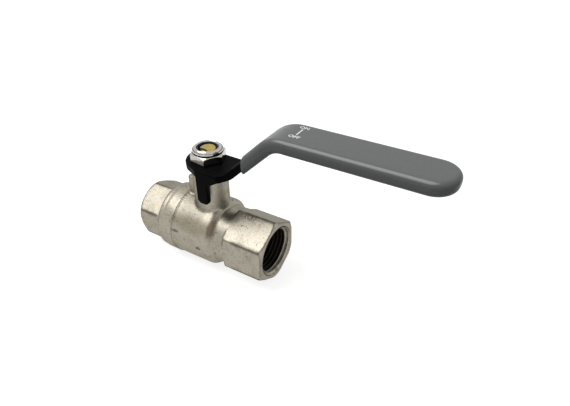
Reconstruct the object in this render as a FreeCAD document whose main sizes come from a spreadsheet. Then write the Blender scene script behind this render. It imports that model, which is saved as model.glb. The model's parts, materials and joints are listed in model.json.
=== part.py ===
import FreeCAD, Part
import math
import os
import Sketcher

os.makedirs("parts", exist_ok=True)
doc = FreeCAD.newDocument("isolating_valve")

# Driving dimensions in millimetres. The valve is drawn about the ball centre:
# X is the pipe axis, Z the stem axis, the lever points along +X when the valve is open.
# Every piece is then moved so that the row's origin is the centre of the right port,
# where its thread begins behind the mouth's chamfer.
SIZES = {
    "face_right": 31.9,
    "face_left": 33.6,
    "hex_right_flats": 25.0,
    "hex_left_flats": 23.6,
    "hex_left_turn": 6.3,
    "hex_right_start": 13.6,
    "hex_left_start": 21.4,
    "barrel_rad": 14.9,
    "barrel_end": 5.2,
    "barrel_round": 2.2,
    "flange_step": 0.35,
    "waist_rad": 12.7,
    "seam_pos": 12.4,
    "seam_chamfer": 0.45,
    "right_nose_in": 1.55,
    "right_nose_back": 0.9,
    "left_nose_in": 1.9,
    "left_nose_back": 2.2,
    "run_out": 3.2,
    "neck_rad": 7.4,
    "neck_top": 30.9,
    "stop_reach": 12.35,
    "stop_front": 0.9,
    "stop_width": 3.2,
    "stop_drop": 7.6,
    "rear_stop_place": 4.5,
    "thread_minor_rad": 9.3,
    "thread_major_rad": 10.55,
    "thread_depth": 15.0,
    "flow_rad": 7.5,
    "ball_rad": 12.0,
    "slot_width": 4.8,
    "seat_gap": 0.05,
    "seat_width": 2.3,
    "seat_deep": 3.8,
    "cavity_end": 5.2,
    "cap_spigot_end": 5.6,
    "stem_rad": 4.5,
    "stem_gap": 0.04,
    "stem_flange_rad": 5.6,
    "ring_step": 5.0,
    "ring_section": 1.5,
    "hub_gap": 1.16,
    "plate_thick": 3.0,
    "drive_rad": 4.0,
    "drive_flats": 6.0,
    "thread_rad": 3.92,
    "stem_rise": 4.64,
    "nut_flats": 12.8,
    "nut_hex_high": 3.4,
    "nut_high": 5.4,
    "nut_collar_rad": 6.17,
    "nut_turn": 24.2,
    "nut_mouth_rad": 4.4,
    "nylon_rad": 5.07,
    "ear_face": 10.5,
    "ear_thick": 2.2,
    "ear_left": 1.05,
    "ear_right": 6.4,
    "ear_drop": 12.2,
    "hub_rad": 9.3,
    "lever_half": 6.1,
    "bend_place": 14.0,
    "bend_rise": 45.0,
    "bend_rad": 4.7,
    "handle_bend_rad": 12.0,
    "handle_rise": 23.3,
    "handle_slope": 0.75,
    "lever_end": 95.6,
    "handle_half": 7.2,
    "handle_wide_place": 40.0,
    "tip_rad": 6.8,
    "sleeve_wall": 1.3,
    "sleeve_start": 21.2,
    "sleeve_round": 2.2,
    "fit_gap": 0.03,
}

# Heights and radii that follow from the driving dimensions.
FOLLOWING = {
    "flange_rad": "=barrel_rad + flange_step",
    "stop_top": "=neck_top - stop_drop",
    "slot_floor": "=ball_rad * 0.75",
    "seat_outer_rad": "=flow_rad + seat_width",
    "seat_back": "=ball_rad + 0.4",
    "seat_edge": "=seat_back - seat_deep",
    "cavity_rad": "=ball_rad + 0.4",
    "cap_thread_rad": "=cavity_rad + 0.95",
    "stem_flange_low": "=ball_rad + 0.35",
    "stem_flange_top": "=stem_flange_low + 1.65",
    "washer_top": "=stem_flange_top + 1.0",
    "ring_low": "=washer_top + ring_step",
    "ring_high": "=ring_low + ring_step",
    "hub_low": "=neck_top + hub_gap",
    "hub_top": "=hub_low + plate_thick",
    "nut_base": "=hub_top + 0.02",
    "nylon_low": "=nut_base + nut_hex_high - 0.6",
    "nylon_high": "=nut_base + nut_high - 0.75",
    "stem_end": "=hub_top + stem_rise",
    "ear_low": "=hub_low - ear_drop",
    "ear_high": "=hub_top - 0.6",
    "web_end": "=bend_place - 2.3",
    "handle_top": "=hub_low + handle_rise",
}

sheet = doc.addObject("Spreadsheet::Sheet", "Sizes")
for row, (alias, value) in enumerate([*SIZES.items(), *FOLLOWING.items()], start=1):
    sheet.set("A%d" % row, alias)
    sheet.setAlias("B%d" % row, alias)
    sheet.set("B%d" % row, str(value))
doc.recompute()


# From the ball centre to the row's origin.
ROW_SHIFT = "-Sizes.face_right + Sizes.thread_major_rad - Sizes.thread_minor_rad"


def size(alias):
    """A driving dimension read back from the sheet."""
    return float(sheet.get(alias))


def vec(x, y, z=0.0):
    return FreeCAD.Vector(x, y, z)


def new_body(name):
    """A sub-part, moved as a whole to the row's origin."""
    body = doc.addObject("PartDesign::Body", name)
    body.setExpression("Placement.Base.x", ROW_SHIFT)
    return body


def plane_of(body, role):
    for feature in body.Origin.OriginFeatures:
        if feature.Role == role:
            return feature
    raise ValueError(role)


def new_sketch(body, name, role, shift=None):
    """A sketch on one of the body's own planes, shifted along its normal by an expression."""
    sketch = body.newObject("Sketcher::SketchObject", name)
    sketch.AttachmentSupport = [(plane_of(body, role), "")]
    sketch.MapMode = "FlatFace"
    if shift:
        sketch.setExpression("AttachmentOffset.Base.z", shift)
    return sketch


def polygon(sketch, points):
    """A closed outline of straight lines."""
    for start, end in zip(points, points[1:] + points[:1]):
        sketch.addGeometry(Part.LineSegment(vec(*start), vec(*end)), False)


def circle(sketch, expression):
    """A circle about the sketch's origin whose radius follows the sheet."""
    index = sketch.addGeometry(Part.Circle(vec(0, 0), vec(0, 0, 1), 1.0), False)
    sketch.addConstraint(Sketcher.Constraint("Coincident", index, 3, -1, 1))
    radius = sketch.addConstraint(Sketcher.Constraint("Radius", index, 1.0))
    sketch.setExpression("Constraints[%d]" % radius, expression)


def hexagon(sketch, flats, turn):
    """A hexagon with one corner turned by the given angle from the sketch's upward axis."""
    corner = flats / math.sqrt(3.0)
    points = []
    for step in range(6):
        angle = math.radians(90.0 + turn + 60.0 * step)
        points.append((corner * math.cos(angle), corner * math.sin(angle)))
    polygon(sketch, points)


def pad(body, sketch, name, length, symmetric=False, reverse=False):
    feature = body.newObject("PartDesign::Pad", name)
    feature.Profile = sketch
    feature.setExpression("Length", length)
    if symmetric:
        feature.SideType = "Symmetric"
    feature.Reversed = reverse
    body.Tip = feature
    return feature


def pocket(body, sketch, name, length):
    """Cuts the outline into the body, along the sketch's normal."""
    feature = body.newObject("PartDesign::Pocket", name)
    feature.Profile = sketch
    feature.setExpression("Length", length)
    feature.Reversed = True
    body.Tip = feature
    return feature


def trim(body, sketch, name):
    """Cuts the outline through the whole body, both ways."""
    feature = body.newObject("PartDesign::Pocket", name)
    feature.Profile = sketch
    feature.Type = "ThroughAll"
    feature.Midplane = True
    body.Tip = feature
    return feature


def turned(body, sketch, name, axis, cut=False):
    """A full turn of the outline about the pipe axis (H_Axis) or the stem axis (V_Axis)."""
    kind = "PartDesign::Groove" if cut else "PartDesign::Revolution"
    feature = body.newObject(kind, name)
    feature.Profile = sketch
    feature.ReferenceAxis = (sketch, [axis])
    feature.Angle = 360.0
    body.Tip = feature
    return feature


def round_edges(body, name, radius, wanted):
    """A fillet on the tip's edges for which wanted(edge) is true."""
    doc.recompute()
    base = body.Tip
    names = []
    for index, edge in enumerate(base.Shape.Edges, start=1):
        if wanted(edge):
            names.append("Edge%d" % index)
    if not names:
        raise ValueError("no edge for " + name)
    feature = body.newObject("PartDesign::Fillet", name)
    feature.Base = (base, names)
    feature.Radius = radius
    body.Tip = feature
    doc.recompute()
    if "Invalid" in feature.State or not feature.Shape.isValid():
        raise ValueError("failed " + name)
    return feature


def end_chamfer(body, name, face, corner, side, inset, back):
    """Turns a hexagon's corners down to a cone, inset at the end face and run out behind it."""
    inner = corner - inset
    reach = inset + 2.5
    depth = reach * back / inset
    sketch = new_sketch(body, name + "_profile", "XZ_Plane")
    polygon(sketch, [
        (side * (face + 1.0), inner),
        (side * face, inner),
        (side * (face - depth), inner + reach),
        (side * (face + 1.0), inner + reach),
    ])
    turned(body, sketch, name, "H_Axis", cut=True)


def inner_rounding(body, name, start, corner, low, side):
    """Runs a hexagon's corners out into the round section next to it."""
    sketch = new_sketch(body, name + "_profile", "XZ_Plane")
    steps = 6
    reach = corner + 1.0 - low
    points = []
    for step in range(steps + 1):
        angle = math.radians(90.0 * step / steps)
        along = start + size("run_out") * (1.0 - math.cos(angle))
        points.append((side * along, low + reach * math.sin(angle)))
    points.append((side * (start - 0.6), low + reach))
    points.append((side * (start - 0.6), low))
    polygon(sketch, points)
    turned(body, sketch, name, "H_Axis", cut=True)


# Body: one forging with the right hexagon, the waist, the barrel, the neck and the lever's stops.
def add_barrel(body):
    """Barrel with a rounded right shoulder, then the waist that carries the hexagon."""
    right = size("face_right")
    seam = size("seam_pos")
    barrel = size("barrel_rad")
    waist = size("waist_rad")
    start = size("hex_right_start")
    core = size("hex_right_flats") / 2.0 - 0.3
    shoulder = size("barrel_end")
    rounding = size("barrel_round")
    edge = size("seam_chamfer")
    points = [(-seam, 0.0), (-seam, barrel - edge), (-seam + edge, barrel)]
    steps = 6
    for step in range(steps + 1):
        angle = math.radians(90.0 * step / steps)
        along = shoulder + rounding * math.sin(angle)
        points.append((along, barrel - rounding * (1.0 - math.cos(angle))))
    shoulder_end = shoulder + rounding
    points += [(shoulder_end + 1.2, waist + 0.05), (shoulder_end + 2.8, waist - 0.1)]
    points += [(start - 0.9, waist - 0.05), (start + 1.0, core), (right, core), (right, 0.0)]
    outline = new_sketch(body, "barrel_outline", "XZ_Plane")
    polygon(outline, points)
    turned(body, outline, "barrel", "H_Axis")


def add_right_hexagon(body):
    flats = size("hex_right_flats")
    corner = flats / math.sqrt(3.0)
    outline = new_sketch(body, "hex_outline", "YZ_Plane", "Sizes.hex_right_start - 0.5")
    hexagon(outline, flats, 0.0)
    pad(body, outline, "hex", "Sizes.face_right - Sizes.hex_right_start + 0.5")
    nose = (size("right_nose_in"), size("right_nose_back"))
    end_chamfer(body, "hex_end_chamfer", size("face_right"), corner, 1.0, *nose)
    inner_rounding(body, "hex_run_out", size("hex_right_start") - 0.7, corner, size("waist_rad"), 1.0)


def add_neck(body):
    neck = new_sketch(body, "neck_outline", "XY_Plane")
    circle(neck, "Sizes.neck_rad")
    pad(body, neck, "neck", "Sizes.neck_top")

    def is_neck_rim(edge):
        box = edge.BoundBox
        return box.ZLength < 0.01 and abs(box.ZMax - size("neck_top")) < 0.01
    round_edges(body, "neck_rounding", 0.5, is_neck_rim)


def add_stops(body):
    """Two stops stand on the barrel beside the neck, one for each end of the lever's travel."""
    reach = size("stop_reach")
    front = -size("stop_front")
    back = front + size("stop_width")
    inside = size("neck_rad") * 0.5
    ease = 0.9
    stop = new_sketch(body, "stop_outline", "XY_Plane")
    polygon(stop, [
        (-reach, front + ease), (-reach + ease, front), (-inside, front), (-inside, back),
        (-reach + ease, back), (-reach, back - ease),
    ])
    pad(body, stop, "stop", "Sizes.stop_top")

    def is_stop_crown(edge):
        box = edge.BoundBox
        level = box.ZLength < 0.01 and abs(box.ZMax - size("stop_top")) < 0.01
        return level and box.XMax < -size("neck_rad") + 0.5 and box.XMin < -reach + ease + 0.01
    round_edges(body, "stop_rounding", 0.7, is_stop_crown)

    near = -size("rear_stop_place")
    far = near - size("stop_width")
    rear = new_sketch(body, "rear_stop_outline", "XY_Plane")
    outer = size("ear_face") - 0.3
    polygon(rear, [(far, inside), (near, inside), (near, outer), (far, outer)])
    pad(body, rear, "rear_stop", "Sizes.stop_top")


def cut_body_passages(body):
    """The port with its mouth, the seat's pocket, the ball's space and the cap's thread, then the gland."""
    right = size("face_right")
    seam = size("seam_pos")
    flow = size("flow_rad")
    minor = size("thread_minor_rad")
    major = size("thread_major_rad")
    depth = size("thread_depth")
    cavity = size("cavity_rad")
    gap = size("fit_gap")
    seat = size("seat_outer_rad") + gap
    seat_back = size("seat_back") + gap
    cap = size("cap_thread_rad") + gap
    cap_floor = -size("cap_spigot_end") + 0.4
    bore = new_sketch(body, "flow_space", "XZ_Plane")
    polygon(bore, [
        (right, 0.0), (right, major), (right - (major - minor), minor),
        (right - depth, minor), (right - depth - 1.2, flow),
        (seat_back, flow), (seat_back, seat), (size("seat_edge"), seat), (size("cavity_end"), cavity),
        (cap_floor, cavity), (cap_floor, cap), (-seam + 0.6, cap),
        (-seam, cap + 0.6), (-seam, 0.0),
    ])
    turned(body, bore, "flow_cut", "H_Axis", cut=True)

    inside = size("slot_floor")
    stem_bore = size("stem_rad") + size("stem_gap")
    under = size("stem_flange_rad") + 0.3
    washer_top = size("washer_top") + gap
    top = size("neck_top")
    gland = new_sketch(body, "stem_space", "XZ_Plane")
    polygon(gland, [
        (0.0, inside), (under, inside), (under, washer_top), (stem_bore, washer_top),
        (stem_bore, top - 0.5), (stem_bore + 0.5, top), (0.0, top),
    ])
    turned(body, gland, "stem_cut", "V_Axis", cut=True)


def build_valve_body():
    body = new_body("valve_body")
    add_barrel(body)
    add_right_hexagon(body)
    add_neck(body)
    add_stops(body)
    cut_body_passages(body)
    return body


# End cap: screwed into the barrel from the left, with its own hexagon and port.
def add_cap_shape(body):
    """Threaded spigot, flange in two turned bands, rounded shoulder and the hexagon's core."""
    left = size("face_left")
    seam = size("seam_pos")
    flange = size("flange_rad")
    flats = size("hex_left_flats")
    corner = flats / math.sqrt(3.0)
    start = size("hex_left_start")
    core = flats / 2.0 - 0.3
    spigot = size("cap_spigot_end")
    thread = size("cap_thread_rad")
    inner_face = -seam - size("fit_gap")
    relief = 0.55
    edge = size("seam_chamfer")
    step_down = 0.3
    outline = new_sketch(body, "cap_outline", "XZ_Plane")
    points = [(-spigot, 0.0), (-spigot, thread - 0.7), (-spigot - 0.7, thread)]
    points += [(-seam + relief, thread), (inner_face, thread + relief), (inner_face, flange - edge)]
    points.append((inner_face - edge, flange))
    band_end = -seam - 0.55 * (start - seam)
    points += [(band_end, flange), (band_end - step_down, flange - step_down)]
    crown = flange - step_down
    shoulder = crown - corner + 0.1
    steps = 5
    for step in range(steps + 1):
        angle = math.radians(90.0 * step / steps)
        along = -start + 0.5 + shoulder * (1.0 - math.sin(angle))
        points.append((along, crown - shoulder * (1.0 - math.cos(angle))))
    points += [(-start, corner - 0.5), (-start - 0.3, core), (-left, core), (-left, 0.0)]
    polygon(outline, points)
    turned(body, outline, "cap_shape", "H_Axis")


def build_end_cap():
    body = new_body("end_cap")
    add_cap_shape(body)
    left = size("face_left")
    flats = size("hex_left_flats")
    hex_sketch = new_sketch(body, "cap_hex_outline", "YZ_Plane", "-Sizes.face_left")
    hexagon(hex_sketch, flats, size("hex_left_turn"))
    pad(body, hex_sketch, "cap_hex", "Sizes.face_left - Sizes.hex_left_start + 0.3")
    nose = (size("left_nose_in"), size("left_nose_back"))
    end_chamfer(body, "cap_end_chamfer", left, flats / math.sqrt(3.0), -1.0, *nose)

    bore = new_sketch(body, "cap_flow_space", "XZ_Plane")
    gap = size("fit_gap")
    spigot = size("cap_spigot_end")
    flow = size("flow_rad")
    minor = size("thread_minor_rad")
    major = size("thread_major_rad")
    depth = size("thread_depth")
    seat = size("seat_outer_rad") + gap
    seat_back = size("seat_back") + gap
    lip = math.sqrt((size("ball_rad") + 0.35) ** 2 - (spigot + 0.1) ** 2)
    polygon(bore, [
        (-left, 0.0), (-left, major), (-left + (major - minor), minor),
        (-left + depth, minor), (-left + depth + 1.2, flow),
        (-seat_back, flow), (-seat_back, seat), (-size("seat_edge"), seat), (-spigot, lip), (-spigot, 0.0),
    ])
    turned(body, bore, "cap_flow_cut", "H_Axis", cut=True)
    return body


# Seat rings: soft rings with a spherical face that the ball rides on.
def build_seat_ring(name, side):
    body = new_body(name)
    sketch = new_sketch(body, name + "_profile", "XZ_Plane")
    sphere = size("ball_rad") + size("seat_gap")
    outer = size("seat_outer_rad")
    back = size("seat_back")
    bore = size("flow_rad") + 0.1
    inner_angle = math.asin(bore / sphere)
    outer_angle = math.asin((outer - 0.5) / sphere)
    points = [(side * back, outer - 0.4), (side * (back - 0.4), outer)]
    points.append((side * sphere * math.cos(outer_angle), outer))
    steps = 6
    for step in range(steps + 1):
        angle = outer_angle + (inner_angle - outer_angle) * step / steps
        points.append((side * sphere * math.cos(angle), sphere * math.sin(angle)))
    points.append((side * back, bore))
    edges = list(zip(points, points[1:] + points[:1]))
    straight = edges[:3] + edges[3 + steps:]
    for first, last in straight:
        sketch.addGeometry(Part.LineSegment(vec(*first), vec(*last)), False)
    arc = Part.Arc(vec(*points[3]), vec(*points[3 + steps // 2]), vec(*points[3 + steps]))
    sketch.addGeometry(arc, False)
    turned(body, sketch, name + "_shape", "H_Axis")
    return body


# Ball: bored through, with the driving slot across its top.
def build_ball():
    sphere = doc.addObject("Part::Sphere", "ball_round")
    sphere.setExpression("Radius", "Sizes.ball_rad")
    bore = doc.addObject("Part::Cylinder", "ball_bore")
    bore.setExpression("Radius", "Sizes.flow_rad")
    bore.Height = 30.0
    bore.Placement = FreeCAD.Placement(vec(-15, 0, 0), FreeCAD.Rotation(vec(0, 1, 0), 90))
    slot = doc.addObject("Part::Box", "ball_slot")
    slot.setExpression("Length", "Sizes.slot_width")
    slot.Width = 30.0
    slot.Height = 6.0
    slot.setExpression("Placement.Base.x", "-Sizes.slot_width / 2")
    slot.setExpression("Placement.Base.y", "-15")
    slot.setExpression("Placement.Base.z", "Sizes.slot_floor")
    bored = doc.addObject("Part::Cut", "ball_bored")
    bored.Base = sphere
    bored.Tool = bore
    ball = doc.addObject("Part::Cut", "ball")
    ball.Base = bored
    ball.Tool = slot
    ball.setExpression("Placement.Base.x", ROW_SHIFT)
    return ball


# Stem: tang in the ball's slot, flange below the gland, two ring grooves, flats and thread above.
def build_stem():
    body = new_body("stem")
    outline = new_sketch(body, "stem_outline", "XZ_Plane")
    shaft = size("stem_rad")
    flange = size("stem_flange_rad")
    low = size("stem_flange_low")
    flange_top = size("stem_flange_top")
    hub = size("hub_low")
    drive = size("drive_rad")
    thread = size("thread_rad")
    hub_top = size("hub_top")
    end = size("stem_end")
    section = size("ring_section") + 0.3
    floor = shaft - size("ring_section") - 0.03
    points = [(0.0, size("slot_floor") + 0.3), (shaft, size("slot_floor") + 0.3), (shaft, low)]
    points += [(flange, low), (flange, flange_top), (shaft, flange_top)]
    for ring in ("ring_low", "ring_high"):
        centre = size(ring)
        points += [(shaft, centre - section / 2), (floor, centre - section / 2)]
        points += [(floor, centre + section / 2), (shaft, centre + section / 2)]
    points += [(shaft, hub - 0.02), (drive, hub - 0.02), (drive, hub_top - 0.3), (thread, hub_top - 0.1)]
    points += [(thread, end - 0.8), (thread - 0.8, end), (0.0, end)]
    polygon(outline, points)
    turned(body, outline, "stem_turned", "V_Axis")

    tang = new_sketch(body, "tang_sides", "XY_Plane", "Sizes.slot_floor")
    half = size("slot_width") / 2.0 - 0.15
    clear = shaft * 2.0
    for side in (-1.0, 1.0):
        polygon(tang, [
            (side * half, -clear), (side * clear, -clear), (side * clear, clear), (side * half, clear),
        ])
    pocket(body, tang, "tang", "Sizes.stem_flange_low - Sizes.slot_floor")

    flats = new_sketch(body, "drive_sides", "XY_Plane", "Sizes.hub_low - 0.02")
    half = size("drive_flats") / 2.0
    for side in (-1.0, 1.0):
        polygon(flats, [
            (-clear, side * half), (clear, side * half), (clear, side * clear), (-clear, side * clear),
        ])
    pocket(body, flats, "drive", "Sizes.plate_thick + 0.03")
    return body


def build_turned_ring(name, points):
    """A ring turned about the stem axis from a closed outline of radius and height."""
    body = new_body(name)
    sketch = new_sketch(body, name + "_profile", "XZ_Plane")
    polygon(sketch, points)
    turned(body, sketch, name + "_shape", "V_Axis")
    return body


def build_thrust_washer():
    inner = size("stem_rad") + 0.1
    outer = size("stem_flange_rad") + 0.25
    low = size("stem_flange_top") + 0.03
    return build_turned_ring("thrust_washer", [
        (inner, low), (outer, low), (outer, size("washer_top")), (inner, size("washer_top")),
    ])


# Stem rings: round rubber rings in the stem's two grooves, sealing against the neck's bore.
def build_stem_ring(name, centre):
    body = new_body(name)
    sketch = new_sketch(body, name + "_section", "XZ_Plane")
    radius = size("ring_section") / 2.0
    middle = size("stem_rad") + 0.01 - radius
    sketch.addGeometry(Part.Circle(vec(middle, size(centre)), vec(0, 0, 1), radius), False)
    turned(body, sketch, name + "_shape", "V_Axis")
    return body


def lever_profile(grow):
    """Side outline of the bent strip, grown by the given amount on both of its faces."""
    low = size("hub_low")
    thick = size("plate_thick")
    rise = math.radians(size("bend_rise"))
    slope = math.radians(size("handle_slope"))
    # Middle line of the strip: hub, rising arm, handle.
    middle_low = (size("bend_place"), low + thick / 2.0)
    climb = size("handle_top") - thick - low
    middle_high = (middle_low[0] + climb / math.tan(rise), middle_low[1] + climb)
    half = thick / 2.0 + grow
    lower_half = math.tan(rise / 2.0) * half
    upper_half = math.tan((rise - slope) / 2.0) * half
    return middle_low, middle_high, half, rise, slope, lower_half, upper_half


def side_outline(sketch, grow, start, end):
    """Draws the strip's side outline between two places along X, its bends rounded."""
    low, high, half, rise, slope, lower_half, upper_half = lever_profile(grow)
    far = (end, high[1] + (end - high[0]) * math.tan(slope))

    def offset(side):
        first = (start, low[1] + side * half)
        if start > low[0]:
            along = start - low[0]
            first = (start, low[1] + along * math.tan(rise) + side * half / math.cos(rise))
        bend_one = (low[0] - side * lower_half, low[1] + side * half)
        bend_two = (
            high[0] - side * half * math.sin(rise) + side * upper_half * math.cos(rise),
            high[1] + side * half * math.cos(rise) + side * upper_half * math.sin(rise),
        )
        last = (far[0], far[1] + side * half / math.cos(slope))
        return [first, bend_one, bend_two, last] if start < low[0] else [first, bend_two, last]

    return rounded_path(sketch, offset(1.0), offset(-1.0), half)


def rounded_path(sketch, top, bottom, half):
    """Closes two offset lines into one outline and rounds the bends about common centres."""
    def corner(points, index, radius):
        here = vec(*points[index])
        back = vec(*points[index - 1]) - here
        ahead = vec(*points[index + 1]) - here
        back.normalize()
        ahead.normalize()
        opening = back.getAngle(ahead)
        reach = radius / math.tan(opening / 2.0)
        middle = back + ahead
        middle.normalize()
        centre = here + middle * (radius / math.sin(opening / 2.0))
        near = here + back * reach
        far = here + ahead * reach
        crown = centre - middle * radius
        return near, crown, far

    bends = len(top) - 2
    segments = []
    for points, first_inner in ((top, bends == 2), (bottom, False)):
        radii = []
        for bend in range(bends):
            is_last = bend == bends - 1
            middle = size("handle_bend_rad") if is_last else size("bend_rad")
            grown = is_last == (points is top)
            radii.append(middle + half if grown else middle - half)
        place = vec(*points[0])
        line = []
        for bend in range(bends):
            near, crown, far = corner(points, bend + 1, radii[bend])
            line.append(("line", place, near))
            line.append(("arc", near, crown, far))
            place = far
        line.append(("line", place, vec(*points[-1])))
        segments.append(line)
    for line in segments:
        for item in line:
            if item[0] == "line":
                sketch.addGeometry(Part.LineSegment(item[1], item[2]), False)
            else:
                sketch.addGeometry(Part.Arc(item[1], item[2], item[3]), False)
    sketch.addGeometry(Part.LineSegment(vec(*top[0]), vec(*bottom[0])), False)
    sketch.addGeometry(Part.LineSegment(vec(*top[-1]), vec(*bottom[-1])), False)
    return sketch


def handle_plan(grow, start, end, radius):
    """Plan outline of the handle from its start to its rounded tip."""
    near = size("lever_half") + grow
    far = size("handle_half") + grow
    points = [(start, -near), (size("handle_wide_place"), -far), (end - radius, -far)]
    steps = 6
    for step in range(1, steps + 1):
        angle = math.radians(90.0 * step / steps)
        points.append((end - radius + radius * math.sin(angle), -far + radius * (1.0 - math.cos(angle))))
    mirrored = [(x, -y) for x, y in reversed(points)]
    return points + mirrored


# Lever: one bent steel strip with a wider hub and two ears folded down from it as stops.
def hub_arc(first, last):
    """Points along the hub's round end, between two angles in degrees."""
    steps = 7
    points = []
    for step in range(steps + 1):
        angle = math.radians(first + (last - first) * step / steps)
        points.append((size("hub_rad") * math.cos(angle), size("hub_rad") * math.sin(angle)))
    return points


def rear_ear_span():
    """Places along X of the rear ear's two sides, close beside the rear stop."""
    near = -size("rear_stop_place") + 0.3
    return near, near + size("stop_width")


def lever_plan_points():
    """Plan outline of the strip, from the front ear round the handle to the hub's round end."""
    half = size("lever_half")
    face = size("ear_face")
    bend = size("bend_place")
    rear_near, rear_far = rear_ear_span()
    points = [(size("ear_left"), -face), (size("ear_right"), -face)]
    # The web beside the front ear runs out into the arm just before the bend.
    arm_start = size("sleeve_start") - 1.7
    handle_start = size("sleeve_start") + 4.8
    points += [(size("web_end"), -face + 0.2), (bend + 0.4, -half - 1.3), (arm_start, -half)]
    points += handle_plan(0.0, handle_start, size("lever_end"), size("tip_rad"))
    # Behind, the arm runs straight to the hub and the rear ear stands out from it.
    points += [(arm_start, half), (2.0, half), (rear_far + 0.4, half + 1.1)]
    points += [(rear_far, half + 1.9), (rear_far, face), (rear_near, face)]
    return points + hub_arc(120.0, 258.0)


def front_ear_points():
    """Side outline of the front ear: round lower corners and a web up to the bend."""
    left = size("ear_left")
    right = size("ear_right")
    low = size("ear_low")
    web = size("hub_low")
    top = size("ear_high")
    points = [(left, top)]
    for centre, radius, first in ((left + 2.2, 2.2, 180.0), (right - 1.6, 1.6, 270.0)):
        for step in range(5):
            angle = math.radians(first + 22.5 * step)
            points.append((centre + radius * math.cos(angle), low + radius + radius * math.sin(angle)))
    points += [(right, web - 3.5), (right + 0.9, web - 2.5), (right + 2.3, web - 1.8)]
    points += [(size("web_end"), web + 0.1), (size("web_end"), top)]
    return points


def build_lever():
    body = new_body("lever")
    side = new_sketch(body, "lever_side", "XZ_Plane")
    side_outline(side, 0.0, -size("hub_rad") * 1.5, size("lever_end"))
    pad(body, side, "lever_strip", "4 * Sizes.ear_face", symmetric=True)

    plan = new_sketch(body, "lever_plan", "XY_Plane")
    margin = 3.0 * size("ear_face")
    end = size("lever_end") + margin
    polygon(plan, [(-margin, -margin), (end, -margin), (end, margin), (-margin, margin)])
    polygon(plan, lever_plan_points())
    trim(body, plan, "lever_trim")

    ear = new_sketch(body, "ear_outline", "XZ_Plane", "Sizes.ear_face")
    polygon(ear, front_ear_points())
    pad(body, ear, "ear", "Sizes.ear_thick", reverse=True)

    # The second ear hangs behind the neck and meets the rear stop in the open position.
    rear = new_sketch(body, "rear_ear_outline", "XZ_Plane", "-Sizes.ear_face")
    near, far = rear_ear_span()
    low = size("ear_low") + 1.0
    top = size("ear_high")
    ease = 0.8
    polygon(rear, [
        (near, low + ease), (near + ease, low), (far - ease, low), (far, low + ease), (far, top), (near, top),
    ])
    pad(body, rear, "rear_ear", "Sizes.ear_thick")

    hole = new_sketch(body, "drive_hole", "XY_Plane", "Sizes.hub_low - 1")
    radius = size("drive_rad") + size("fit_gap")
    flat = size("drive_flats") / 2.0 + size("fit_gap")
    across = math.sqrt(radius * radius - flat * flat)
    for sign in (-1.0, 1.0):
        side_line = Part.LineSegment(vec(-across * sign, flat * sign), vec(across * sign, flat * sign))
        hole.addGeometry(side_line, False)
        crown = vec(radius * sign, 0)
        hole.addGeometry(Part.Arc(vec(across * sign, flat), crown, vec(across * sign, -flat)), False)
    pocket(body, hole, "drive_cut", "Sizes.plate_thick + 2")
    return body


def rounded_plan(sketch, grow, start, end, radius):
    """Plan outline of the covered handle, its tip's corners drawn as arcs."""
    near = size("lever_half") + grow
    far = size("handle_half") + grow
    wide = size("handle_wide_place")
    turn = end - radius
    flat = far - radius
    short = radius * math.sqrt(0.5)
    for side in (-1.0, 1.0):
        sketch.addGeometry(Part.LineSegment(vec(start, side * near), vec(wide, side * far)), False)
        sketch.addGeometry(Part.LineSegment(vec(wide, side * far), vec(turn, side * far)), False)
        crown = vec(turn + short, side * (flat + short))
        sketch.addGeometry(Part.Arc(vec(turn, side * far), crown, vec(end, side * flat)), False)
    sketch.addGeometry(Part.LineSegment(vec(end, -flat), vec(end, flat)), False)
    sketch.addGeometry(Part.LineSegment(vec(start, -near), vec(start, near)), False)


def build_handle_form(name, grow, start, radius):
    """Arm and handle as one solid, grown all round by the given amount."""
    body = new_body(name)
    end = size("lever_end") + grow
    side = new_sketch(body, name + "_side", "XZ_Plane")
    side_outline(side, grow, start, end)
    pad(body, side, name + "_strip", "4 * Sizes.ear_face", symmetric=True)
    plan = new_sketch(body, name + "_plan", "XY_Plane")
    margin = 3.0 * size("ear_face")
    polygon(plan, [(-margin, -margin), (end + margin, -margin), (end + margin, margin), (-margin, margin)])
    rounded_plan(plan, grow, start - 2.0, end, radius)
    trim(body, plan, name + "_trim")
    return body


# Sleeve: a soft covering over the arm and handle, closed at the tip.
def build_lever_sleeve():
    start = size("sleeve_start")
    tip = size("tip_rad")
    outer = build_handle_form("sleeve_outside", size("sleeve_wall"), start, tip + 1.2)

    def is_rim(edge):
        """The long edges and the tip's, without the open end's and the two across the first bend."""
        box = edge.BoundBox
        upright = box.XLength < 0.01 and box.YLength < 0.01
        at_start = box.XMax < start + 0.01
        at_side = box.YLength > 14.0 and box.XMin < start + 30.0
        return not upright and not at_start and not at_side
    round_edges(outer, "sleeve_rounding", size("sleeve_round"), is_rim)
    inside_start = start - size("plate_thick")
    space = build_handle_form("sleeve_inside", size("fit_gap"), inside_start, tip)
    sleeve = doc.addObject("Part::Cut", "lever_sleeve")
    sleeve.Base = outer
    sleeve.Tool = space
    return sleeve


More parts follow.
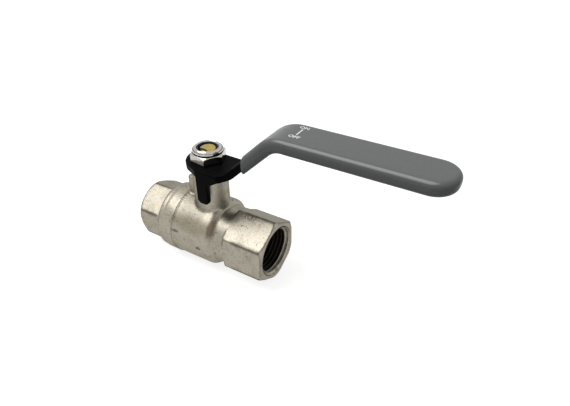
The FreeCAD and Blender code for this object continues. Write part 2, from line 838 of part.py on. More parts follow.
# Lock nut: hexagon with a rolled collar that holds a nylon ring.
def build_lock_nut():
    body = new_body("lock_nut")
    base = size("nut_base")
    flats = size("nut_flats")
    corner = flats / math.sqrt(3.0)
    hex_sketch = new_sketch(body, "nut_hex_outline", "XY_Plane", "Sizes.nut_base")
    hexagon(hex_sketch, flats, 180.0 + size("nut_turn"))
    pad(body, hex_sketch, "nut_hex", "Sizes.nut_hex_high")
    hex_top = base + size("nut_hex_high")
    shaping = new_sketch(body, "nut_corner_profile", "XZ_Plane")
    polygon(shaping, [
        (corner - 1.0, hex_top + 0.5), (corner - 1.0, hex_top - 0.05), (corner + 0.6, hex_top - 0.95),
        (corner + 0.6, hex_top + 0.5),
    ])
    turned(body, shaping, "nut_corners", "V_Axis", cut=True)
    collar = new_sketch(body, "nut_collar_profile", "XZ_Plane")
    rim = size("nut_collar_rad")
    top = base + size("nut_high")
    hole = size("nut_mouth_rad")
    polygon(collar, [
        (0.0, hex_top - 1.0), (rim - 0.1, hex_top - 1.0), (rim - 0.1, hex_top), (rim, hex_top + 0.3),
        (rim, top - 1.2), (rim - 0.2, top - 0.65), (rim - 0.65, top - 0.2), (rim - 1.2, top),
        (hole + 0.2, top - 0.05), (hole, top - 0.3), (0.0, top - 0.3),
    ])
    turned(body, collar, "nut_collar", "V_Axis")
    bore = new_sketch(body, "nut_bore_profile", "XZ_Plane")
    thread = size("thread_rad") + size("fit_gap")
    recess = size("nylon_rad") + size("fit_gap")
    polygon(bore, [
        (0.0, base), (thread + 0.4, base), (thread, base + 0.4), (thread, size("nylon_low")),
        (recess, size("nylon_low")), (recess, size("nylon_high")), (hole, size("nylon_high")),
        (hole, top), (0.0, top),
    ])
    turned(body, bore, "nut_bore", "V_Axis", cut=True)
    return body


def build_nylon_insert():
    gap = size("fit_gap")
    low = size("nylon_low") + gap
    top = size("nylon_high") - gap
    inner = size("thread_rad") + gap
    outer = size("nylon_rad")
    return build_turned_ring("nylon_insert", [(inner, low), (outer, low), (outer, top), (inner, top)])


pieces = [
    build_valve_body(),
    build_end_cap(),
    build_seat_ring("seat_ring_right", 1.0),
    build_seat_ring("seat_ring_left", -1.0),
    build_ball(),
    build_stem(),
    build_thrust_washer(),
    build_stem_ring("stem_ring_lower", "ring_low"),
    build_stem_ring("stem_ring_upper", "ring_high"),
    build_lever(),
    build_lever_sleeve(),
    build_lock_nut(),
    build_nylon_insert(),
]
doc.recompute()

for item in doc.Objects:
    if "Invalid" in item.State or "Error" in item.State:
        raise ValueError("bad object " + item.Name)
for piece in pieces:
    if piece.Shape.isNull() or not piece.Shape.isValid() or len(piece.Shape.Solids) != 1:
        raise ValueError("bad shape " + piece.Label)
    piece.Shape.exportStep("parts/%s.step" % piece.Label)
    box = piece.Shape.BoundBox
    print(piece.Label, round(piece.Shape.Volume, 1), [round(v, 1) for v in (
        box.XMin, box.XMax, box.YMin, box.YMax, box.ZMin, box.ZMax)])
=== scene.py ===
import bpy
import json
import math
from mathutils import Matrix, Vector


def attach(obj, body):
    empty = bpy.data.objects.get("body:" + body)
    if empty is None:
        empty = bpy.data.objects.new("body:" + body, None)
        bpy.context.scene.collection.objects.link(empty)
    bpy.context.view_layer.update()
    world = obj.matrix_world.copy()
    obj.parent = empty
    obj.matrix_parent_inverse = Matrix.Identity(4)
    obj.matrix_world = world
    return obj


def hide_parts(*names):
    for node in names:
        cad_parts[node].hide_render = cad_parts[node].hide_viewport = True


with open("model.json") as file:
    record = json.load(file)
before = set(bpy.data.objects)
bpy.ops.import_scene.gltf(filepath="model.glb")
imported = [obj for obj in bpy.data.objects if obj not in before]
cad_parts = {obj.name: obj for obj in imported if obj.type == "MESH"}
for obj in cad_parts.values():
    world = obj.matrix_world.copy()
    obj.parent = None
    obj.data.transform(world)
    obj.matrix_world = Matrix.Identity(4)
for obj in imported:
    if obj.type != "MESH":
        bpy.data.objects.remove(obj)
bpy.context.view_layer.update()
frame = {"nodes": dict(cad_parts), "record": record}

MM = 0.001
nodes = frame["nodes"]

# Places and sizes in millimetres, repeated from the part's source
FACE_RIGHT = 31.9
FACE_LEFT = 33.6
ROW_X = -30.65
THREAD_MINOR = 9.3
THREAD_MAJOR = 10.55
THREAD_DEPTH = 15.0
SEAM = -12.4
FLANGE_RAD = 15.25
FLOOR_Z = -FLANGE_RAD
NUT_SHOULDER = 38.48

# The thread's pitch in millimetres, 14 turns to the inch
THREAD_PITCH = 1.814

# The thread's mesh: points round it, rings along it, and the shares of half a pitch for a flat and a flank
THREAD_SPOKES = 96
THREAD_STEPS = int(THREAD_DEPTH / THREAD_PITCH * 10)
THREAD_FLAT = 0.14
THREAD_FLANK = 0.72

# The thread's first ring inside the face, play at its root, widest chamfer, and how far in it stays bright
# before the painted shade of the bore
THREAD_START = 0.02
THREAD_PLAY = 0.05
THREAD_MOUTH = THREAD_MAJOR + 0.08
BRIGHT_MOUTH = 2.3

# The last ring, as wide as the passage, behind the thread
BACK_DEPTH = 1.2
BACK_RAD = 7.5

# The rolled lip of the nut's collar: its height, the radii inside, outside and at its crest,
# how fast it falls away from the crest and how far at most
LIP_HIGH = 0.7
LIP_INSIDE = 3.4
LIP_OUTSIDE = 6.4
LIP_CREST = 4.9
LIP_CURVE = 0.45
LIP_FALL = 0.6

# The groove turned below the collar: its start below the shoulder, width, depth and the radius it starts at
GROOVE_BELOW = 0.05
GROOVE_WIDE = 0.6
GROOVE_DEEP = 0.55
GROOVE_INSIDE = 5.7

# Where a painted dark reflection lies on the hexagons' ridges: distances from the pipe axis, and places
# along it
RIGHT_RIDGE = (13.75, 14.15)
RIGHT_HEXAGON = (16.5, 18.0)
LEFT_RIDGE = (13.05, 13.45)
LEFT_HEXAGON = (-22.0, -23.0)

# How high the fine grain of a surface stands, in metres
GRAIN_HEIGHT = 0.0001

# Sockets of a mixing step that carry colours
MIX_FIRST = 6
MIX_SECOND = 7
MIX_RESULT = 2

# The print on the handle: its place, its lift off the sleeve and its letters' height in millimetres
PRINT_X = 41.1
PRINT_LIFT = 0.02
LETTER_HEIGHT = 1.7

# How much bolder the letters are than plain ones, and the height in metres above all pieces
LETTER_WEIGHT = 0.02
HIGH_ABOVE = 0.1

# The studio: floor in metres, light levels where one is white
FLOOR_REACH = 4.0
FLOOR_COLOUR = 0.42
FLOOR_LIFT = 0.80
SIDE_LIGHT = 0.12
TOP_LIGHT = 0.86
TOP_LIGHT_FROM = 0.35
KEY_PLACE = (-0.42, -0.28, 0.85)
KEY_TARGET = (-0.02, 0.0, 0.0)
KEY_SIZE = 0.75
KEY_POWER = 5.9

# The camera: its place about the ball centre in millimetres, its angles in degrees, its lens and sensor
CAMERA_PLACE = (115.19, -131.94, 133.86)
CAMERA_AZIMUTH = 31.02
CAMERA_ELEVATION = 35.06
CAMERA_LENS = 31.08
CAMERA_SENSOR = 36.0


def row(x, y, z):
    """A point given about the ball centre in millimetres, in the part's frame in metres."""
    return Vector(((x + ROW_X) * MM, y * MM, z * MM))


def add_object(name, data):
    obj = bpy.data.objects.new(name, data)
    bpy.context.scene.collection.objects.link(obj)
    return obj


# Steps that the materials are made of
def new_material(name):
    material = bpy.data.materials.new(name)
    material.use_nodes = True
    tree = material.node_tree
    shader = tree.nodes["Principled BSDF"]
    return material, tree, shader


def add_node(tree, kind, **settings):
    node = tree.nodes.new(kind)
    for key, value in settings.items():
        setattr(node, key, value)
    return node


def grey(level):
    return (level, level, level)


def own_place(tree):
    """The place on the piece in its own coordinates, so that a pattern stays on it when it turns."""
    return add_node(tree, "ShaderNodeTexCoord").outputs["Object"]


def noise(tree, scale, detail, roughness):
    texture = add_node(tree, "ShaderNodeTexNoise")
    texture.inputs["Scale"].default_value = scale
    texture.inputs["Detail"].default_value = detail
    texture.inputs["Roughness"].default_value = roughness
    tree.links.new(own_place(tree), texture.inputs["Vector"])
    return texture.outputs["Fac"]


def ramp(tree, source, low, high, at_low, at_high):
    """Turns a value between low and high into a colour between two others."""
    node = add_node(tree, "ShaderNodeValToRGB")
    node.color_ramp.elements[0].position = low
    node.color_ramp.elements[1].position = high
    node.color_ramp.elements[0].color = (*at_low, 1.0)
    node.color_ramp.elements[1].color = (*at_high, 1.0)
    tree.links.new(source, node.inputs["Fac"])
    return node.outputs["Color"]


def map_range(tree, source, low, high, at_low=0.0, at_high=1.0):
    """Runs evenly from one level at low to another at high, and stays level beyond them."""
    node = add_node(tree, "ShaderNodeMapRange")
    tree.links.new(source, node.inputs["Value"])
    node.inputs["From Min"].default_value = low
    node.inputs["From Max"].default_value = high
    node.inputs["To Min"].default_value = at_low
    node.inputs["To Max"].default_value = at_high
    return node.outputs[0]


def vector_math(tree, operation, source, value=None):
    """One step of arithmetic on a vector, with a fixed second vector where it takes one."""
    node = add_node(tree, "ShaderNodeVectorMath", operation=operation)
    tree.links.new(source, node.inputs[0])
    if value is not None:
        node.inputs[1].default_value = value
    measures = operation in ("LENGTH", "DOT_PRODUCT")
    return node.outputs["Value" if measures else "Vector"]


def join(tree, operation, first, second):
    """One step of arithmetic on two values."""
    node = add_node(tree, "ShaderNodeMath", operation=operation)
    tree.links.new(first, node.inputs[0])
    tree.links.new(second, node.inputs[1])
    return node.outputs[0]


def weigh(tree, first, second, factor):
    """first + factor * second."""
    node = add_node(tree, "ShaderNodeMath", operation="MULTIPLY_ADD")
    tree.links.new(second, node.inputs[0])
    node.inputs[1].default_value = factor
    tree.links.new(first, node.inputs[2])
    return node.outputs[0]


def layer(tree, colour, source, low, high, at_low, at_high):
    """Multiplies the colour by one tone where the source is low and by another where it is high.

    Tones below one darken it and tones above one lighten it."""
    node = add_node(tree, "ShaderNodeMix", data_type="RGBA", blend_type="MULTIPLY")
    node.inputs["Factor"].default_value = 1.0
    tree.links.new(colour, node.inputs[MIX_FIRST])
    tree.links.new(ramp(tree, source, low, high, at_low, at_high), node.inputs[MIX_SECOND])
    return node.outputs[MIX_RESULT]


def bump(tree, shader, height, strength):
    node = add_node(tree, "ShaderNodeBump")
    node.inputs["Strength"].default_value = strength
    node.inputs["Distance"].default_value = GRAIN_HEIGHT
    tree.links.new(height, node.inputs["Height"])
    tree.links.new(node.outputs["Normal"], shader.inputs["Normal"])


def nearness(tree, point, reach, narrowed):
    """One at a point given about the ball centre, falling to zero at its reach in millimetres.

    The reach is divided by narrowed along each axis."""
    away = vector_math(tree, "SUBTRACT", own_place(tree), row(*point))
    scaled = vector_math(tree, "MULTIPLY", away, narrowed)
    length = vector_math(tree, "LENGTH", scaled)
    return map_range(tree, length, 0.0, reach * MM, at_low=1.0, at_high=0.0)


def facing(tree, direction, mirrored=False):
    """How far the surface faces a direction of the piece, from one straight at it to zero across it."""
    normal = add_node(tree, "ShaderNodeTexCoord").outputs["Normal"]
    if mirrored:
        normal = vector_math(tree, "ABSOLUTE", normal)
    return vector_math(tree, "DOT_PRODUCT", normal, direction)


# Layers of painted light and shade, and of pits, stains and specks
def shade_by_shape(tree, colour, ridge, hollow):
    """Darkens the colour by the given levels on the piece's sharp ridges, as a painted dark reflection, and
    in its hollows, as painted shade.
    """
    pointed = add_node(tree, "ShaderNodeNewGeometry").outputs["Pointiness"]
    colour = layer(tree, colour, pointed, 0.51, 0.54, grey(1.0), grey(ridge))
    return layer(tree, colour, pointed, 0.40, 0.47, grey(hollow), grey(1.0))


def painted_hollow_shade(tree, colour, reach, open_from, open_to, level):
    """Painted shade: darkens the colour to a level where the surface nearby closes in, within a reach in
    millimetres.
    """
    shelter = add_node(tree, "ShaderNodeAmbientOcclusion")
    shelter.inputs["Distance"].default_value = reach * MM
    return layer(tree, colour, shelter.outputs["AO"], open_from, open_to, grey(level), grey(1.0))


def ridge_dark_reflection(tree, colour, radii, stretch):
    """A painted dark reflection: a thin dark line along a hexagon's ridges.

    It sets in between two distances from the pipe axis and along a stretch of it."""
    split = add_node(tree, "ShaderNodeSeparateXYZ")
    tree.links.new(own_place(tree), split.inputs[0])
    across = vector_math(tree, "MULTIPLY", own_place(tree), (0.0, 1.0, 1.0))
    away = vector_math(tree, "LENGTH", across)
    on_ridge = map_range(tree, away, radii[0] * MM, radii[1] * MM)
    on_hexagon = map_range(tree, split.outputs["X"], row(stretch[0], 0, 0).x, row(stretch[1], 0, 0).x)
    both = join(tree, "MULTIPLY", on_ridge, on_hexagon)
    return layer(tree, colour, both, 0.0, 1.0, grey(1.0), grey(0.50))


def pitted(tree, colour):
    """Dark pits, thickest along the top ridge of the right hexagon."""
    pits = noise(tree, scale=1700.0, detail=2.0, roughness=0.7)
    cluster = noise(tree, scale=260.0, detail=2.0, roughness=0.5)
    ridge = nearness(tree, point=(21.0, -1.6, 14.0), reach=3.4, narrowed=(0.3, 1.0, 1.0))
    height = weigh(tree, pits, cluster, factor=0.35)
    height = weigh(tree, height, ridge, factor=-0.19)
    return layer(tree, colour, height, 0.47, 0.53, grey(0.38), grey(1.0))


def marks_and_painted_shade(tree, colour, mottle, blotches):
    """Soft-edged marks on the barrel and the waist, some stains and specks and some painted shade, each
    broken up by a noise.
    """
    marks = (
        # A brown painted shade on the barrel's right shoulder
        (mottle, (6.9, -11.3, 9.6), 5.4, (2.2, 0.9, 0.75), (0.54, 0.49, 0.44)),
        # A dull olive band along the barrel's front
        (blotches, (-2.0, -12.8, 8.3), 8.5, (0.65, 1.8, 1.6), (0.78, 0.77, 0.70)),
        # A painted shade over the lamp's highlight on the barrel's top
        (blotches, (-5.0, -8.0, 13.0), 9.0, (1.0, 1.3, 1.3), grey(0.74)),
        # A painted shadow in the hollow on the waist's top
        (blotches, (13.0, -4.0, 13.2), 4.5, (1.0, 0.9, 1.0), grey(0.50)),
        # Two specks low on the barrel's front
        (mottle, (-10.3, -14.9, 3.5), 1.8, (0.7, 1.0, 1.8), grey(0.35)),
        (mottle, (2.0, -15.2, -0.9), 1.5, (0.8, 1.0, 1.4), grey(0.35)),
    )
    for texture, point, reach, narrowed, tone in marks:
        near = weigh(tree, nearness(tree, point, reach, narrowed), texture, factor=0.9)
        colour = layer(tree, colour, near, 0.50, 1.35, grey(1.0), tone)
    return colour


def painted_sheen_and_side_shade(tree, colour):
    """A painted highlight along both rounded upper edges, and painted shade on the sides."""
    upper_edge = (0.0, 0.62, 0.785)
    edge = facing(tree, upper_edge, mirrored=True)
    # Painted highlight along the rounded upper edges
    colour = layer(tree, colour, edge, 0.955, 0.992, grey(1.0), grey(2.1))
    upward = facing(tree, (0.0, 0.0, 1.0))
    # Painted shade on the sides, which face away from the light
    return layer(tree, colour, upward, 0.45, 0.97, grey(0.84), grey(1.0))


def painted_shade_on_stem_end(tree, colour):
    """Painted shade outside the stem's plain end, where the nut's mouth closes round it, and a painted
    shadow in a streak across it.
    """
    unshaded_end = nearness(tree, point=(0.4, 0.0, 0.0), reach=10.0, narrowed=(1.0, 1.0, 0.0))
    # Painted shade round the stem's end
    colour = layer(tree, colour, unshaded_end, 0.66, 0.68, grey(0.06), grey(1.0))
    crescent_shadow = nearness(tree, point=(-1.3, -2.15, 0.0), reach=3.2, narrowed=(1.0, 3.6, 0.0))
    # Painted shadow across the stem's end
    return layer(tree, colour, crescent_shadow, 0.02, 0.15, grey(1.0), grey(0.03))


# Materials
def nickel_material(name, first, second):
    """Satin nickel over shot-blasted brass: warm grey, finely mottled, with pits and marks, painted shade
    in its hollows and on the barrel, and painted dark reflections on its ridges.
    """
    material, tree, shader = new_material(name)
    mottle = noise(tree, scale=900.0, detail=4.0, roughness=0.6)
    blotches = noise(tree, scale=150.0, detail=3.0, roughness=0.6)
    grain = noise(tree, scale=2600.0, detail=2.0, roughness=0.5)
    colour = ramp(tree, mottle, 0.35, 0.65, first, second)
    colour = layer(tree, colour, blotches, 0.30, 0.48, grey(0.82), grey(1.0))
    colour = pitted(tree, colour)
    # Stains, specks and painted shade on the barrel and the waist
    colour = marks_and_painted_shade(tree, colour, mottle, blotches)
    # Painted dark reflection on the sharp ridges and painted shade in the hollows
    colour = shade_by_shape(tree, colour, ridge=0.58, hollow=0.85)
    # Painted dark reflections along both hexagons' ridges
    colour = ridge_dark_reflection(tree, colour, RIGHT_RIDGE, RIGHT_HEXAGON)
    colour = ridge_dark_reflection(tree, colour, LEFT_RIDGE, LEFT_HEXAGON)
    # Painted shade where the surface closes in
    colour = painted_hollow_shade(tree, colour, reach=3.5, open_from=0.30, open_to=0.85, level=0.38)
    tree.links.new(colour, shader.inputs["Base Color"])
    roughness = ramp(tree, mottle, 0.3, 0.7, grey(0.49), grey(0.39))
    tree.links.new(roughness, shader.inputs["Roughness"])
    shader.inputs["Metallic"].default_value = 1.0
    shader.inputs["Specular Tint"].default_value = (0.54, 0.54, 0.52, 1.0)
    bump(tree, shader, grain, strength=0.30)
    return material


def plain_material(name, first, second, roughness, scale, strength):
    """One colour, faintly mottled and grained."""
    material, tree, shader = new_material(name)
    shader.inputs["Roughness"].default_value = roughness
    mottle = noise(tree, scale, detail=3.0, roughness=0.5)
    tree.links.new(ramp(tree, mottle, 0.35, 0.65, first, second), shader.inputs["Base Color"])
    bump(tree, shader, mottle, strength)
    return material, shader


def plain_metal(name, first, second, roughness, scale=1500.0, strength=0.05):
    material, shader = plain_material(name, first, second, roughness, scale, strength)
    shader.inputs["Metallic"].default_value = 1.0
    return material


def plain_plastic(name, first, second, roughness, scale=700.0, strength=0.05, gloss=0.5):
    material, shader = plain_material(name, first, second, roughness, scale, strength)
    shader.inputs["Specular IOR Level"].default_value = gloss
    return material


def rework_colour(material, change):
    """Puts one more layer between a material's colour and its shader."""
    tree = material.node_tree
    entry = tree.nodes["Principled BSDF"].inputs["Base Color"]
    colour = entry.links[0].from_socket
    tree.links.new(change(tree, colour), entry)
    return material


def nut_material():
    """Bright zinc with painted shade in the hollows under the rolled collar, and one flat at the front left
    made diffuse and painted lighter.
    """
    material = plain_metal("nut_bright", (0.43, 0.41, 0.365), (0.51, 0.49, 0.445), 0.10, scale=800.0)
    tree = material.node_tree
    shader = tree.nodes["Principled BSDF"]
    front_left = (-0.5, -0.866, 0.0)
    flat = facing(tree, front_left)
    tree.links.new(ramp(tree, flat, 0.85, 0.95, grey(1.0), grey(0.0)), shader.inputs["Metallic"])

    def lit_flat_and_hollow_shade(tree, colour):
        # Painted light on the flat at the front left
        colour = layer(tree, colour, flat, 0.85, 0.95, grey(1.0), grey(1.75))
        # Painted shade in the nut's hollows
        return painted_hollow_shade(tree, colour, reach=1.0, open_from=0.55, open_to=0.97, level=0.12)

    return rework_colour(material, lit_flat_and_hollow_shade)


def brass_material():
    """Turned brass with painted shade round its end and a painted shadow across it."""
    material = plain_metal(
        "stem_brass", (0.38, 0.29, 0.075), (0.50, 0.40, 0.12), 0.30, scale=1200.0, strength=0.15,
    )
    return rework_colour(material, painted_shade_on_stem_end)


def sleeve_material():
    """Soft grey plastic with a painted highlight along its upper edges and painted shade on its sides."""
    material = plain_plastic(
        "sleeve_grey", (0.148, 0.154, 0.153), (0.156, 0.162, 0.161), 0.26, scale=900.0, gloss=0.07,
    )
    return rework_colour(material, painted_sheen_and_side_shade)


def lever_material():
    """Semi-gloss black paint."""
    return plain_plastic(
        "lever_black", (0.0007, 0.0007, 0.0009), (0.0016, 0.0016, 0.0019), 0.35,
        scale=500.0, strength=0.06, gloss=0.02,
    )


MATERIALS = {
    "nickel_plate": nickel_material("nickel_plate", (0.338, 0.309, 0.252), (0.412, 0.380, 0.316)),
    "ball_chrome": plain_metal("ball_chrome", (0.72, 0.72, 0.73), (0.80, 0.80, 0.81), 0.10),
    "stem_brass": brass_material(),
    "seat_white": plain_plastic("seat_white", (0.80, 0.80, 0.78), (0.86, 0.86, 0.84), 0.45),
    "ring_rubber": plain_plastic("ring_rubber", (0.015, 0.015, 0.015), (0.03, 0.03, 0.03), 0.55),
    "lever_black": lever_material(),
    "sleeve_grey": sleeve_material(),
    "nut_bright": nut_material(),
    "nylon_dark": plain_plastic("nylon_dark", (0.006, 0.008, 0.035), (0.010, 0.014, 0.055), 0.4),
}
# A much darker nickel for the bore past its mouth: painted shade of the bore's inside
SHADED_BORE_NICKEL = nickel_material("shaded_bore_nickel", (0.035, 0.031, 0.025), (0.055, 0.049, 0.039))
SLOT_OF = {part["node"]: part["material_slot"] for part in frame["record"]["subparts"]}


# What every piece goes through
def dress(obj, slot):
    """Gives a piece the material of one record slot."""
    obj.data.materials.clear()
    obj.data.materials.append(MATERIALS[slot])


def body_of_node(name):
    for body, members in frame["record"]["behaviour"]["bodies"].items():
        if name in members:
            return body
    raise ValueError(name)


def finished_mesh(obj):
    """The mesh of an object with its modifiers, or the letters of a text, worked out."""
    graph = bpy.context.evaluated_depsgraph_get()
    return bpy.data.meshes.new_from_object(obj.evaluated_get(graph))


def soft_copy(node, name, grain, rounds):
    """A copy of a solid, meshed evenly and eased at its edges, as plating and casting leave them.

    The grain of the new mesh is in millimetres."""
    obj = add_object(name, nodes[node].data.copy())
    weld = obj.modifiers.new("weld", "WELD")
    weld.merge_threshold = 0.002 * MM
    remesh = obj.modifiers.new("even", "REMESH")
    remesh.mode = "VOXEL"
    remesh.voxel_size = grain * MM
    remesh.adaptivity = 0.0
    smooth = obj.modifiers.new("ease", "SMOOTH")
    smooth.factor = 0.5
    smooth.iterations = rounds
    mesh = finished_mesh(obj)
    obj.modifiers.clear()
    obj.data = mesh
    shade_smooth(mesh)
    return obj


def shade_smooth(mesh):
    for polygon in mesh.polygons:
        polygon.use_smooth = True


def finish_piece(obj, node):
    dress(obj, SLOT_OF[node])
    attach(obj, body_of_node(node))
    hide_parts(node)


def along_and_away(vertex):
    """A vertex's place along the pipe axis from the ball centre and its distance from that axis."""
    along = vertex.co.x / MM - ROW_X
    away = math.hypot(vertex.co.y, vertex.co.z) / MM
    return along, away


def scale_out(vertex, scale):
    """Moves a vertex out from the pipe axis."""
    vertex.co.y *= scale
    vertex.co.z *= scale


# Body and end cap
def widen_port(obj, face, side):
    """Moves the port's plain wall out to the thread's root, behind the cut thread."""
    root = THREAD_MAJOR + 0.25
    inner_end = face - THREAD_DEPTH - 0.2
    outer_end = face + 0.05
    for vertex in obj.data.vertices:
        along, away = along_and_away(vertex)
        in_port = inner_end < side * along < outer_end
        on_wall = THREAD_MINOR - 0.6 < away < THREAD_MAJOR + 0.2
        if in_port and on_wall:
            scale_out(vertex, root / away)


def square_flange(obj):
    """Draws the flange's inner edge out square and up to the barrel, whose chamfer alone marks the seam."""
    edge = FLANGE_RAD - 0.12
    barrel_side = SEAM + 0.12
    for vertex in obj.data.vertices:
        along, away = along_and_away(vertex)
        on_chamfer = SEAM - 0.75 < along < SEAM + 0.1 and away > FLANGE_RAD - 0.8
        on_side = along > SEAM - 0.25 and away > FLANGE_RAD - 1.6
        if on_chamfer:
            scale_out(vertex, edge / away)
        if on_side:
            vertex.co.x = (barrel_side + ROW_X) * MM


def shallow_seam(obj):
    """Draws the barrel's chamfer at the seam out to a shallow groove that fades below."""
    chamfer = 0.7
    shallow_below = 4.0
    fade = 6.0
    for vertex in obj.data.vertices:
        along, away = along_and_away(vertex)
        if along < SEAM + chamfer and FLANGE_RAD - 1.0 < away < FLANGE_RAD + 0.02:
            open_above = min(max((vertex.co.z / MM - shallow_below) / fade, 0.0), 1.0)
            deep = 0.06 + 0.08 * open_above
            rad = FLANGE_RAD - deep * max(0.0, 1.0 - (along - SEAM) / chamfer)
            scale_out(vertex, rad / away)


def thread_radius(along, from_face, angle, side):
    """The bore's radius at one place of the helix, whose mouth opens in a chamfer."""
    phase = (along / THREAD_PITCH - side * angle / (2.0 * math.pi)) % 1.0
    tooth = (abs(2.0 * phase - 1.0) - THREAD_FLAT) / THREAD_FLANK
    tooth = min(max(tooth, 0.0), 1.0)
    depth = THREAD_MAJOR - THREAD_MINOR - THREAD_PLAY
    return max(THREAD_MINOR + depth * tooth, THREAD_MOUTH - from_face)


def thread_verts(face, side):
    """Rings of points from the mouth inward and one last, narrower ring behind the thread."""
    angles = [2.0 * math.pi * spoke / THREAD_SPOKES for spoke in range(THREAD_SPOKES)]
    verts = []
    for step in range(THREAD_STEPS + 1):
        along = face - THREAD_START - THREAD_DEPTH * step / THREAD_STEPS
        for angle in angles:
            radius = thread_radius(along, face - along, angle, side)
            verts.append(row(side * along, radius * math.cos(angle), radius * math.sin(angle)))
    along = face - THREAD_DEPTH - BACK_DEPTH
    for angle in angles:
        verts.append(row(side * along, BACK_RAD * math.cos(angle), BACK_RAD * math.sin(angle)))
    return verts


def thread_faces():
    """Faces between each ring of points and the next."""
    faces = []
    for step in range(THREAD_STEPS + 1):
        first = step * THREAD_SPOKES
        second = first + THREAD_SPOKES
        for spoke in range(THREAD_SPOKES):
            after = (spoke + 1) % THREAD_SPOKES
            faces.append((first + spoke, first + after, second + after, second + spoke))
    return faces


def build_thread(name, face, side, node):
    """The pipe thread cut in a port: a helix with flanks at about 55 degrees and narrow flats.

    The mouth and the first turn are as bright as the outside; the rest is darker, painted shade for the
    inside of the bore."""
    mesh = bpy.data.meshes.new(name)
    mesh.from_pydata(thread_verts(face, side), [], thread_faces())
    mesh.validate()
    obj = add_object(name, mesh)
    shade_smooth(mesh)
    dress(obj, "nickel_plate")
    mesh.materials.append(SHADED_BORE_NICKEL)
    for polygon in mesh.polygons:
        from_face = face - side * (polygon.center.x / MM - ROW_X)
        # Painted shade deeper in the bore
        if from_face > BRIGHT_MOUTH:
            polygon.material_index = 1
    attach(obj, body_of_node(node))


def build_forging(node, name, face, side, shape_seam):
    obj = soft_copy(node, name, grain=0.38, rounds=5)
    widen_port(obj, face, side)
    shape_seam(obj)
    finish_piece(obj, node)
    build_thread(name + "_thread", face, side, node)


build_forging("valve_body", "forged_body", FACE_RIGHT, 1.0, shallow_seam)
build_forging("end_cap", "forged_end_cap", FACE_LEFT, -1.0, square_flange)


# Lever, sleeve and nut
def build_soft_piece(node, name, grain, rounds):
    obj = soft_copy(node, name, grain, rounds)
    finish_piece(obj, node)
    return obj


def from_stem(vertex):
    """A vertex's distance from the stem's axis in millimetres."""
    return math.hypot(vertex.co.x / MM - ROW_X, vertex.co.y / MM)


def roll_lip(nut):
    """Rolls the collar's lip round, so that it falls away on both sides of its crest."""
    nut_top = max(vertex.co.z for vertex in nut.data.vertices) / MM
    for vertex in nut.data.vertices:
        away = from_stem(vertex)
        if vertex.co.z / MM > nut_top - LIP_HIGH and LIP_INSIDE < away < LIP_OUTSIDE:
            fall = LIP_CURVE * (away - LIP_CREST) ** 2
            vertex.co.z -= min(fall, LIP_FALL) * MM


def turn_groove(nut):
    """Parts the collar from the hexagon with a turned groove."""
    for vertex in nut.data.vertices:
        rise = vertex.co.z / MM - NUT_SHOULDER + GROOVE_BELOW
        away = from_stem(vertex)
        if away > GROOVE_INSIDE and 0.0 < rise < GROOVE_WIDE:
            pull = 1.0 - GROOVE_DEEP * math.sin(math.pi * rise / GROOVE_WIDE) / away
            vertex.co.x = (ROW_X + (vertex.co.x / MM - ROW_X) * pull) * MM
            vertex.co.y *= pull


build_soft_piece("lever", "steel_lever", grain=0.3, rounds=5)
sleeve = build_soft_piece("lever_sleeve", "grey_sleeve", grain=0.3, rounds=4)
nut = build_soft_piece("lock_nut", "bright_nut", grain=0.12, rounds=2)
roll_lip(nut)
turn_groove(nut)


# Print on the handle: the two positions with a line between them
def lay_on_sleeve(mesh, name):
    """Drops a flat mesh onto the sleeve's top and lets it ride with the lever."""
    down = Vector((0.0, 0.0, -1.0))
    for vertex in mesh.vertices:
        above = Vector((vertex.co.x, vertex.co.y, HIGH_ABOVE))
        place = sleeve.ray_cast(above, down)[1]
        vertex.co.z = place.z + PRINT_LIFT * MM
    obj = add_object(name, mesh)
    dress(obj, "seat_white")
    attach(obj, "lever_and_ball")


def print_word(word, y, width):
    """A word in plain capitals, centred on the print's line, read along the handle."""
    curve = bpy.data.curves.new("word_" + word.lower(), "FONT")
    curve.body = word
    curve.align_x = "CENTER"
    curve.align_y = "CENTER"
    curve.offset = LETTER_WEIGHT
    text = add_object("word_" + word.lower(), curve)
    mesh = finished_mesh(text)
    bpy.data.objects.remove(text)
    xs = [vertex.co.x for vertex in mesh.vertices]
    ys = [vertex.co.y for vertex in mesh.vertices]
    across = width * MM / (max(xs) - min(xs))
    along = LETTER_HEIGHT * MM / (max(ys) - min(ys))
    centre = row(PRINT_X, y, 0.0)
    for vertex in mesh.vertices:
        vertex.co.x = centre.x + (vertex.co.x - (max(xs) + min(xs)) / 2.0) * across
        vertex.co.y = centre.y + (vertex.co.y - (max(ys) + min(ys)) / 2.0) * along
    lay_on_sleeve(mesh, "printed_" + word.lower())


def print_line(low, high, width):
    mesh = bpy.data.meshes.new("printed_line")
    corners = [(-0.5, low), (0.5, low), (0.5, high), (-0.5, high)]
    mesh.from_pydata([row(PRINT_X + x * width, y, 0.0) for x, y in corners], [], [(0, 1, 2, 3)])
    lay_on_sleeve(mesh, "printed_line")


print_word("ON", y=4.75, width=3.6)
print_word("OFF", y=-2.75, width=4.4)
print_line(low=-1.3, high=3.4, width=0.5)

# Hidden and small pieces, shown as the solids are
for node in ("seat_ring_right", "seat_ring_left", "ball", "stem", "thrust_washer",
             "stem_ring_lower", "stem_ring_upper", "nylon_insert"):
    dress(nodes[node], SLOT_OF[node])
    for polygon in nodes[node].data.polygons:
        polygon.use_smooth = False


# Floor, light and camera
def sees_background(tree):
    """One for the rays that should meet a white background, zero for the light that falls on the object."""
    path = add_node(tree, "ShaderNodeLightPath").outputs
    mirrored = join(tree, "MAXIMUM", path["Is Glossy Ray"], path["Is Transmission Ray"])
    return join(tree, "MAXIMUM", path["Is Camera Ray"], mirrored)


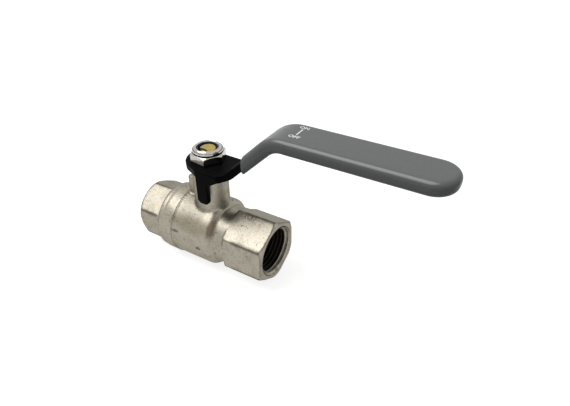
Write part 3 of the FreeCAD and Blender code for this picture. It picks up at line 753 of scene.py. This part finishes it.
def build_floor():
    """A pale floor that is lifted to white in view and keeps the object's shadow."""
    mesh = bpy.data.meshes.new("studio_floor")
    square = [(-1.0, -1.0), (1.0, -1.0), (1.0, 1.0), (-1.0, 1.0)]
    corners = [(x * FLOOR_REACH, y * FLOOR_REACH, FLOOR_Z * MM) for x, y in square]
    mesh.from_pydata(corners, [], [(0, 1, 2, 3)])
    floor = add_object("studio_floor", mesh)
    material, tree, shader = new_material("floor_white")
    shader.inputs["Base Color"].default_value = (FLOOR_COLOUR, FLOOR_COLOUR, FLOOR_COLOUR, 1.0)
    shader.inputs["Roughness"].default_value = 0.9
    shader.inputs["Specular IOR Level"].default_value = 0.0
    lift = map_range(tree, sees_background(tree), 0.0, 1.0, at_low=0.0, at_high=FLOOR_LIFT)
    shader.inputs["Emission Color"].default_value = (1.0, 1.0, 1.0, 1.0)
    tree.links.new(lift, shader.inputs["Emission Strength"])
    mesh.materials.append(material)


def build_world():
    """Soft light, strong from above and weak from the sides, round a background that shows as white."""
    world = bpy.data.worlds.new("studio")
    bpy.context.scene.world = world
    world.use_nodes = True
    tree = world.node_tree
    back = tree.nodes["Background"]
    place = add_node(tree, "ShaderNodeTexCoord")
    split = add_node(tree, "ShaderNodeSeparateXYZ")
    tree.links.new(place.outputs["Generated"], split.inputs["Vector"])
    light = map_range(tree, split.outputs["Z"], TOP_LIGHT_FROM, 1.0, SIDE_LIGHT, TOP_LIGHT)
    tree.links.new(join(tree, "MAXIMUM", light, sees_background(tree)), back.inputs["Strength"])
    back.inputs["Color"].default_value = (1.0, 1.0, 1.0, 1.0)


def build_key_light():
    light = bpy.data.lights.new("key_light", "AREA")
    light.shape = "DISK"
    light.size = KEY_SIZE
    light.energy = KEY_POWER
    obj = add_object("key_light", light)
    obj.location = Vector(KEY_PLACE)
    obj.rotation_euler = (Vector(KEY_TARGET) - Vector(KEY_PLACE)).to_track_quat("-Z", "Y").to_euler()


def build_camera():
    """The photograph's view, solved from the valve's known sizes."""
    azimuth = math.radians(CAMERA_AZIMUTH)
    elevation = math.radians(CAMERA_ELEVATION)
    forward = Vector((
        -math.sin(azimuth) * math.cos(elevation),
        math.cos(azimuth) * math.cos(elevation),
        -math.sin(elevation),
    ))
    right = Vector((math.cos(azimuth), math.sin(azimuth), 0.0))
    up = right.cross(forward)
    camera = bpy.data.cameras.new("photo_camera")
    camera.sensor_width = CAMERA_SENSOR
    camera.lens = CAMERA_LENS
    camera.clip_start = 0.01
    obj = add_object("photo_camera", camera)
    turn = Matrix((right, up, -forward)).transposed().to_4x4()
    obj.matrix_world = Matrix.Translation(row(*CAMERA_PLACE)) @ turn
    bpy.context.scene.camera = obj


build_floor()
build_world()
build_key_light()
build_camera()

bpy.context.scene.view_settings.view_transform = "Standard"
